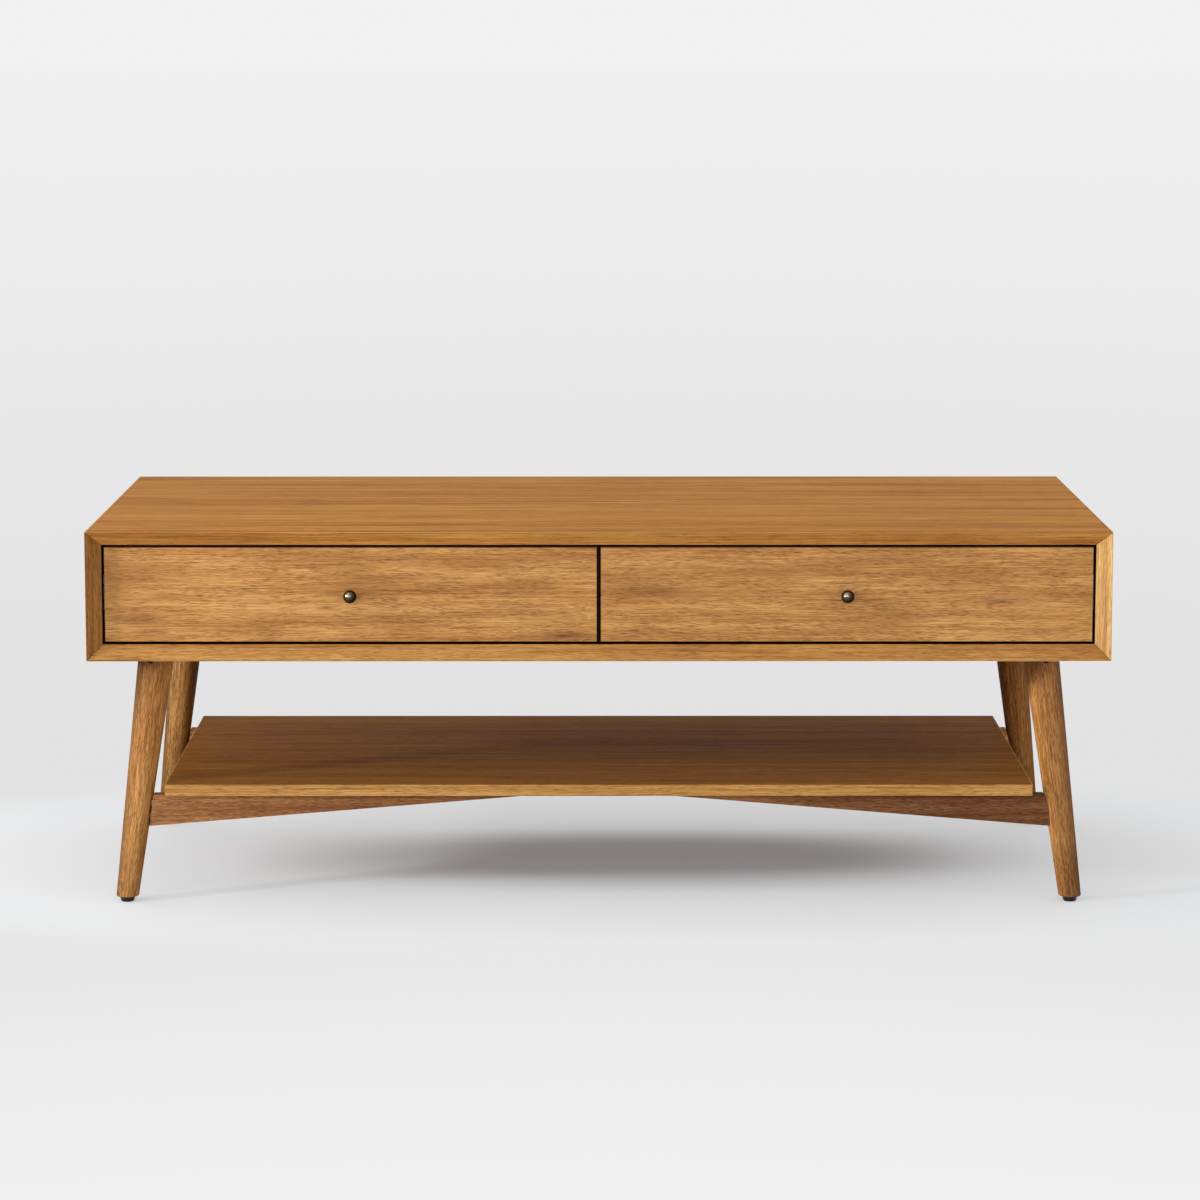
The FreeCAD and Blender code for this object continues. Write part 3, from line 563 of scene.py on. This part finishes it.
def zinc(name, turn, length, width, dark, light, dullness):
    """Zinc-plated steel with rolling or tumbling marks of that length and width."""
    material, tree = new_material(name)
    place = add(tree, "TexCoord", {}).outputs["Object"]
    along = add(tree, "Mapping", {"Vector": place, "Rotation": turn})
    marks = stretched(tree, along.outputs[0], length, width, 2.0)
    cloud = stretched(tree, along.outputs[0], 30, 12, 2.0)
    mixed = add(tree, "Mix", {0: 0.5, 2: marks.outputs[0], 3: cloud.outputs[0]})
    colour = add(tree, "ValToRGB", {0: mixed.outputs[0]}, ((0.35, dark), (0.65, light)))
    rough = add(tree, "MapRange", {0: mixed.outputs[0], 1: 0.3, 2: 0.7,
                                   3: dullness - 0.08, 4: dullness + 0.08})
    bump = add(tree, "Bump", {"Height": marks.outputs[0], "Strength": 0.15, "Distance": 0.0001})
    shader = add(tree, "BsdfPrincipled", {"Base Color": colour.outputs[0],
                                          "Roughness": rough.outputs[0],
                                          "Normal": bump.outputs[0], "Metallic": 1.0})
    add(tree, "OutputMaterial", {"Surface": shader.outputs[0]})
    return material


slide_steel = zinc("slide_steel_zinc_plated", along_y, 120, 0.8, "8C9092", "B4B8BA", 0.34)
fixing_steel = zinc("fixing_steel_zinc_plated", along_x, 2.0, 0.8, "84868A", "AEB0B2", 0.38)
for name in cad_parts:
    if "slide_members" in name:
        finish_node(name, slide_steel)
    elif any(word in name for word in ("screw", "bolts", "washers", "nuts")):
        finish_node(name, fixing_steel)


# The studio
# Pale paper runs out of sight, and is open from below. A small lamp stands low on the left, a
# soft box in front of it and a wide one straight ahead, and the surround, brighter on the upper
# left, fills the shadows. Towards the table the paper glows less, and keeps the soft shadow.

def looked_at(tree):
    """1 for what the camera sees, directly, in a reflection or through glass, else 0."""
    shown = add(tree, "LightPath", {})
    seen = add(tree, "Math", {0: shown.outputs["Is Camera Ray"],
                              1: shown.outputs["Is Glossy Ray"]}, operation="MAXIMUM")
    seen = add(tree, "Math", {0: seen.outputs[0], 1: shown.outputs["Is Transmission Ray"]},
               operation="MAXIMUM")
    return seen.outputs[0]


backdrop_white = linear("F1F1F1")
bpy.ops.mesh.primitive_plane_add(size=200)
floor = bpy.context.object
floor.name = "studio_floor"
material, tree = new_material("floor_paper_pale")
place = add(tree, "TexCoord", {}).outputs["Object"]

# the distance from the middle of the shadow, as a share of its half length and half width
shadow_middle, half_length, half_width = (0.06, 0.01, 0), 0.62, 0.26
off = add(tree, "VectorMath", {0: place, 1: shadow_middle}, operation="SUBTRACT")
off = add(tree, "VectorMath", {0: off.outputs[0], 1: (1 / half_length, 1 / half_width, 0)},
          operation="MULTIPLY")
reach = add(tree, "VectorMath", {0: off.outputs[0]}, operation="LENGTH")
near = add(tree, "MapRange", {0: reach.outputs["Value"], 1: 0.35, 2: 0.95, 3: 0.11, 4: 0.52},
           interpolation_type="SMOOTHSTEP")
far = add(tree, "MapRange", {0: reach.outputs["Value"], 1: 1.5, 2: 2.4, 3: 0.0, 4: 0.48},
          interpolation_type="SMOOTHSTEP")
share = add(tree, "Math", {0: near.outputs[0], 1: far.outputs[0]}, operation="ADD")
glowing = add(tree, "Math", {0: share.outputs[0], 1: looked_at(tree)}, operation="MULTIPLY")

# the backdrop's tone by how far behind the table it is, a little further at the sides, from
# none to all of the way out of sight, with eight metres as half of it
half_way = 8.0
split = add(tree, "SeparateXYZ", {0: place})
sideways = add(tree, "CombineXYZ", {0: split.outputs["X"], 1: 1.0})
sideways = add(tree, "VectorMath", {0: sideways.outputs[0]}, operation="LENGTH")
sideways = add(tree, "Math", {0: sideways.outputs["Value"], 1: 0.7, 2: -0.7},
               operation="MULTIPLY_ADD")
depth = add(tree, "Math", {0: split.outputs["Y"], 1: sideways.outputs[0]}, operation="ADD")
size = add(tree, "Math", {0: depth.outputs[0]}, operation="ABSOLUTE")
size = add(tree, "Math", {0: size.outputs[0], 1: half_way}, operation="ADD")
behind = add(tree, "Math", {0: depth.outputs[0], 1: size.outputs[0]}, operation="DIVIDE")
behind = add(tree, "MapRange", {0: behind.outputs[0], 1: -0.25, 2: 1.0})
glow = add(tree, "ValToRGB", {0: behind.outputs[0]},
           ((0.07, "F1F1F1"), (0.128, "EAEAEA"), (0.2, "E2E2E2"), (0.304, "E2E2E2"),
            (0.508, "E7E7E7"), (1.0, "F1F1F1")))

# cooler paper near the table, against the brown that the wood throws on it
under = add(tree, "Mix", {0: near.outputs[0], 6: linear("D6DFE8"), 7: backdrop_white},
            data_type="RGBA")
paper = add(tree, "BsdfDiffuse", {"Color": under.outputs[2]})
backdrop = add(tree, "Emission", {"Color": glow.outputs[0], "Strength": 1.0})
mixed = add(tree, "MixShader", {0: glowing.outputs[0], 1: paper.outputs[0],
                                2: backdrop.outputs[0]})
from_below = add(tree, "NewGeometry", {}).outputs["Backfacing"]
opening = add(tree, "BsdfTransparent", {})
mixed = add(tree, "MixShader", {0: from_below, 1: mixed.outputs[0], 2: opening.outputs[0]})
add(tree, "OutputMaterial", {"Surface": mixed.outputs[0]})
floor.data.materials.append(material)

world = bpy.data.worlds.new("studio_world")
bpy.context.scene.world = world
world.use_nodes = True
world.node_tree.nodes.clear()
tree = world.node_tree
seen = looked_at(tree)
way = add(tree, "TexCoord", {}).outputs["Generated"]
upper_left = add(tree, "VectorMath", {0: way, 1: (-0.82, -0.42, 0.39)}, operation="DOT_PRODUCT")
fill = add(tree, "MapRange", {0: upper_left.outputs["Value"], 1: -1.0, 2: 1.0, 3: 0.52, 4: 1.30})
colour = add(tree, "Mix", {0: seen, 6: fill.outputs[0], 7: backdrop_white}, data_type="RGBA")
surround = add(tree, "Background", {"Color": colour.outputs[2], "Strength": 1.0})
add(tree, "OutputWorld", {"Surface": surround.outputs[0]})

# each lamp's place, width, height and watts, turned towards the middle of the table
aim = Vector((0, 0, 0.3))
for name, place, wide, high, power in (
    ("lamp_left", (-3.2, -1.6, 1.1), 0.3, 0.3, 50),
    ("soft_box_front_left", (-3.0, -3.6, 1.6), 1.6, 1.6, 19),
    ("soft_box_front", (0, -6.0, 1.8), 3.0, 1.2, 62),
):
    lamp = bpy.data.lights.new(name, "AREA")
    lamp.shape = "RECTANGLE"
    lamp.size = wide
    lamp.size_y = high
    lamp.energy = power
    lamp_object = bpy.data.objects.new(name, lamp)
    bpy.context.scene.collection.objects.link(lamp_object)
    lamp_object.location = place
    lamp_object.rotation_euler = (aim - Vector(place)).to_track_quat("-Z", "Y").to_euler()

# A long lens five metres in front and a little above the top, worked out from the edges in the
# photograph. It looks down by degrees and aside by radians.
look_down, look_aside = 7.930, -0.0016
camera = bpy.data.objects.new("camera", bpy.data.cameras.new("camera"))
bpy.context.scene.collection.objects.link(camera)
camera.data.sensor_width = 36
camera.data.lens = 124.26
camera.location = (-0.0064, -5.1732, 1.0542)
camera.rotation_euler = (radians(90 - look_down), 0, look_aside)
bpy.context.scene.camera = camera
bpy.context.scene.view_settings.view_transform = "Standard"
